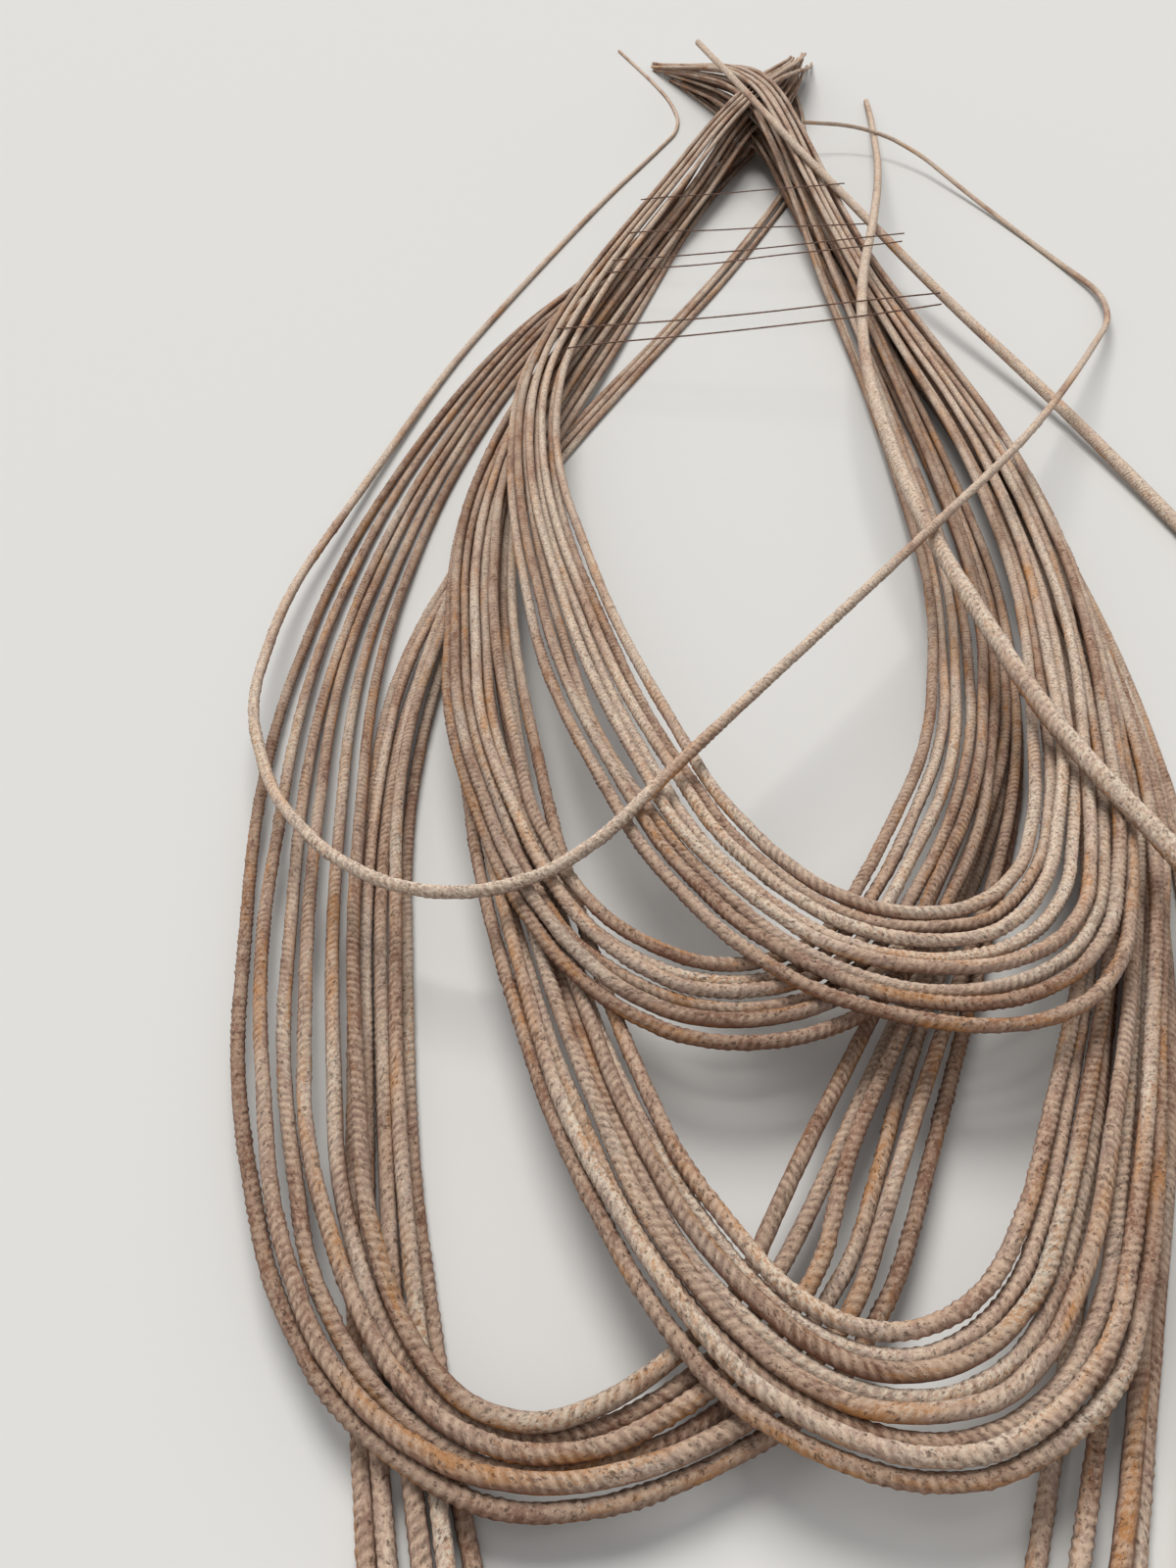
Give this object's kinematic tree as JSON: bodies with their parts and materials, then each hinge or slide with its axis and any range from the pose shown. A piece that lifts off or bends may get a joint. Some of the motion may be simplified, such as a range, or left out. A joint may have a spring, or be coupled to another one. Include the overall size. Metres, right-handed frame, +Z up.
{
  "type": "coil of folded ribbed bar",
  "caption": "Loose coil of rusty ribbed reinforcing bar: each bar is folded into a long hairpin, the bends lie nested at one end, and the legs cross and run out at the other.",
  "frame": {"origin": "middle of the coil's outline, on the floor that it lies on", "axes": "+X to the right seen from the bends, +Y along the coil from the bends to the free ends, +Z up"},
  "size_m": [1.589, 7.8705, 0.3146],
  "materials": {
    "rusty_bar": "hot-rolled ribbed bar, rusted all over and dusty",
    "tie_wire": "dull rusted annealed wire"
  },
  "bodies": {
    "root": {"lowest_hairpins": "rusty_bar", "outer_left_hairpins": "rusty_bar", "front_loop_hairpins": "rusty_bar", "middle_loop_hairpins": "rusty_bar", "top_loop_hairpins": "rusty_bar", "thick_bar": "rusty_bar", "loose_bar": "rusty_bar", "tie_wires": "tie_wire"}
  },
  "joints": []
}
